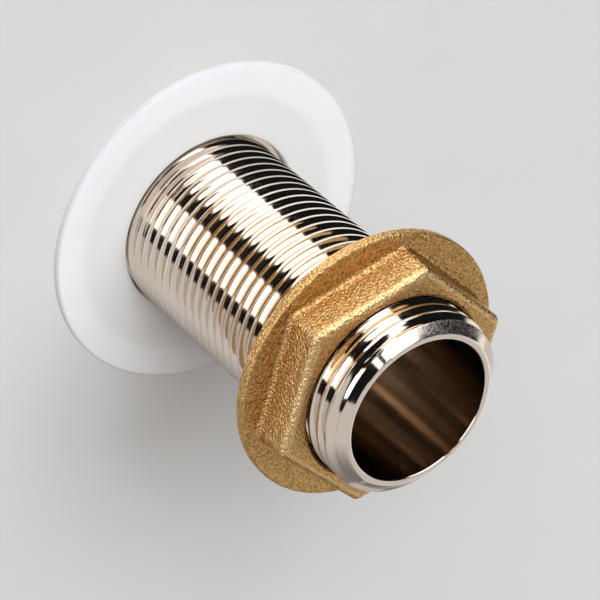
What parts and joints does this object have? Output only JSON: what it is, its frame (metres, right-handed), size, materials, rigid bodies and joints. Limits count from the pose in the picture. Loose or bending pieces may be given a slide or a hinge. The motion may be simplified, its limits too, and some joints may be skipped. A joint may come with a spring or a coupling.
{
  "type": "drain socket",
  "caption": "Drain socket: a nickel-plated, threaded waste tube with a round flange, a flat plastic sealing washer and a flanged hexagonal brass locknut that clamps it to a sink or tank panel.",
  "frame": {"origin": "centre of the flange's outer face, on which the socket stands", "axes": "+Z along the tube's axis, from the flange to the open threaded end; -Y towards the view of the picture"},
  "size_m": [0.062, 0.0621, 0.068],
  "materials": {
    "nickel_plate": "polished nickel plate with a faint warm tint, brushed darker inside the bore",
    "white_plastic": "translucent white plastic, smooth and softly glossy",
    "raw_brass": "raw forged brass with a sand-blasted grain and smoother, brighter edges"
  },
  "bodies": {
    "drain_body": {"socket": "nickel_plate", "washer": "white_plastic"},
    "nut_body": {"locknut": "raw_brass"}
  },
  "joints": [
    {"name": "nut_travel", "type": "slide", "parent": "drain_body", "child": "nut_body", "axis": [0, 0, 1], "range_m": [-0.04618, 0.01154]}
  ]
}
